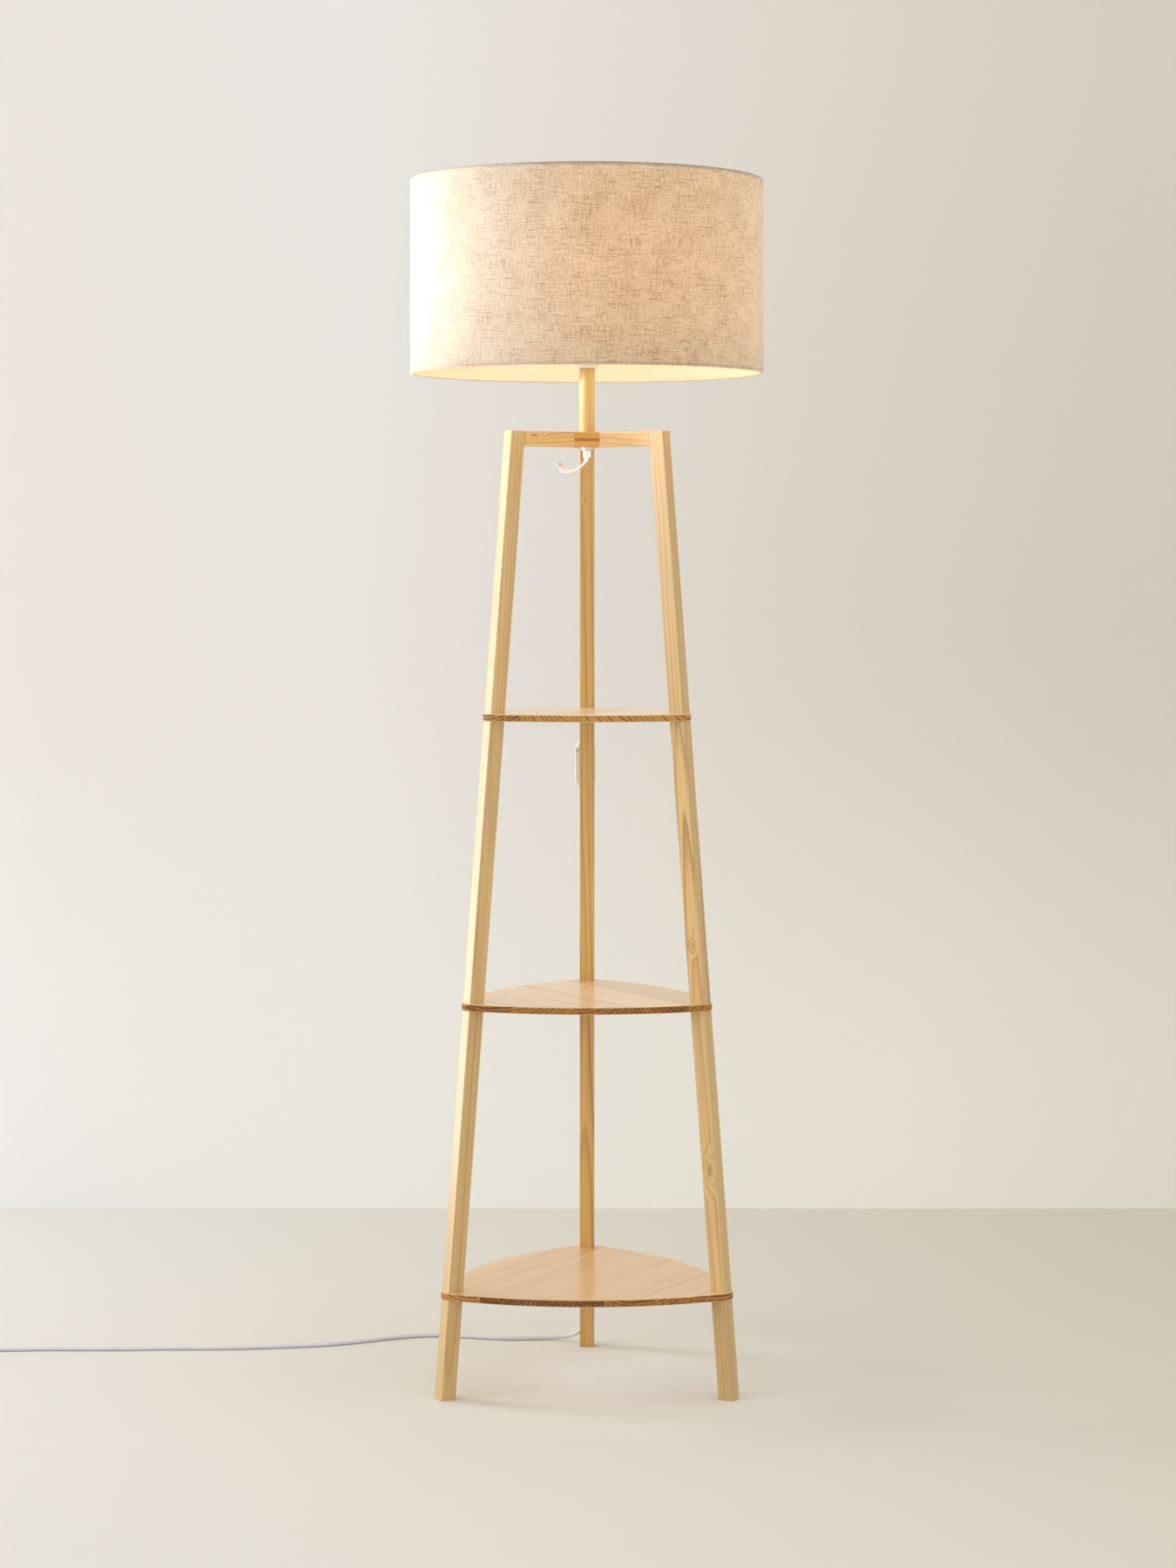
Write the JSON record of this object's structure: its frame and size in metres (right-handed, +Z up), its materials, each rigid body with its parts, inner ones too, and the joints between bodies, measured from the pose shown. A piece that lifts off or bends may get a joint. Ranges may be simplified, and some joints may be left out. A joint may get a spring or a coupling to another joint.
{
  "type": "floor lamp",
  "caption": "Tripod floor lamp with round-cornered wooden shelves between splayed legs, a hook under the hub and a fabric drum shade.",
  "frame": {"origin": "on the floor, on the lamp's own axis, at the centre of its outline", "axes": "+Z up the stem, -Y towards the front between two legs, the third leg at +Y"},
  "size_m": [1.227, 0.4831, 1.5302],
  "materials": {
    "leg_wood": "satin lacquered pale pine",
    "shelf_wood": "satin lacquered, edge-glued strips",
    "dowel_wood": "plain beech",
    "steel": "zinc plated",
    "brass": "plain",
    "hook_chrome": "polished",
    "holder_plastic": "smooth",
    "porcelain": "glazed",
    "thin_aluminium": "rolled thread",
    "solder": "tinned",
    "bulb_glass": "black",
    "bulb_plastic": "smooth",
    "diffuser": "frosted",
    "shade_cloth": "slubbed linen weave",
    "shade_lining": "translucent film",
    "white_wire": "powder coated",
    "cord_sheath": "smooth",
    "fitting_plastic": "smooth",
    "soft_plastic": "ribbed",
    "rocker_plastic": "smooth",
    "pin_metal": "nickel plated",
    "tie": "soft"
  },
  "bodies": {
    "stand": {"leg_left_upper": "leg_wood", "leg_left_middle": "leg_wood", "leg_left_lower": "leg_wood", "leg_left_foot": "leg_wood", "leg_right_upper": "leg_wood", "leg_right_middle": "leg_wood", "leg_right_lower": "leg_wood", "leg_right_foot": "leg_wood", "leg_rear_upper": "leg_wood", "leg_rear_middle": "leg_wood", "leg_rear_lower": "leg_wood", "leg_rear_foot": "leg_wood", "arm_left": "leg_wood", "arm_right": "leg_wood", "arm_rear": "leg_wood", "hub_block": "leg_wood", "stem_tube": "leg_wood", "shelf_top": "shelf_wood", "shelf_middle": "shelf_wood", "shelf_bottom": "shelf_wood", "hub_dowels": "dowel_wood", "leg_studs": "steel", "stem_bolt": "steel", "clip_nails": "steel", "switch_screws": "steel", "leg_insert_nuts": "brass", "stem_insert_nut": "brass", "holder_contact": "brass", "switch_contacts": "brass", "stem_nipple": "brass", "hook_flange": "hook_chrome", "holder_cap": "holder_plastic", "holder_body": "holder_plastic", "holder_insert": "porcelain", "holder_shell": "thin_aluminium", "lead_upper": "cord_sheath", "lead_lower": "cord_sheath", "floor_cord": "cord_sheath", "cord_coil": "cord_sheath", "cord_tail": "cord_sheath", "cord_clips": "fitting_plastic", "switch_front": "fitting_plastic", "switch_back": "fitting_plastic", "plug_body": "fitting_plastic", "stem_grommet": "fitting_plastic", "plug_relief": "soft_plastic", "plug_pins": "pin_metal", "cord_tie": "tie"},
    "shade": {"shade_fabric": "shade_cloth", "shade_liner": "shade_lining", "shade_frame": "white_wire", "shade_top_ring": "white_wire", "shade_ring_nut": "holder_plastic"},
    "bulb": {"bulb_contact": "solder", "bulb_insulator": "bulb_glass", "bulb_cap": "thin_aluminium", "bulb_housing": "bulb_plastic", "bulb_diffuser": "diffuser"},
    "rocker": {"switch_rocker": "rocker_plastic"},
    "hook": {"hook": "hook_chrome"}
  },
  "joints": [
    {"name": "shade_lift", "type": "slide", "parent": "stand", "child": "shade", "axis": [0, 0, 1], "range_m": [0, 0.09]},
    {"name": "bulb_lift", "type": "slide", "parent": "shade", "child": "bulb", "axis": [0, 0, 1], "range_m": [0, 0.23]},
    {"name": "rocker_tilt", "type": "hinge", "parent": "stand", "child": "rocker", "pos_m": [-0.0025, 0.16873, 0.77758], "axis": [1, 0, 0], "range_deg": [0, 18]},
    {"name": "hook_turn", "type": "hinge", "parent": "stand", "child": "hook", "pos_m": [0, 0, 1.18], "axis": [0, 0, 1], "continuous": true}
  ]
}
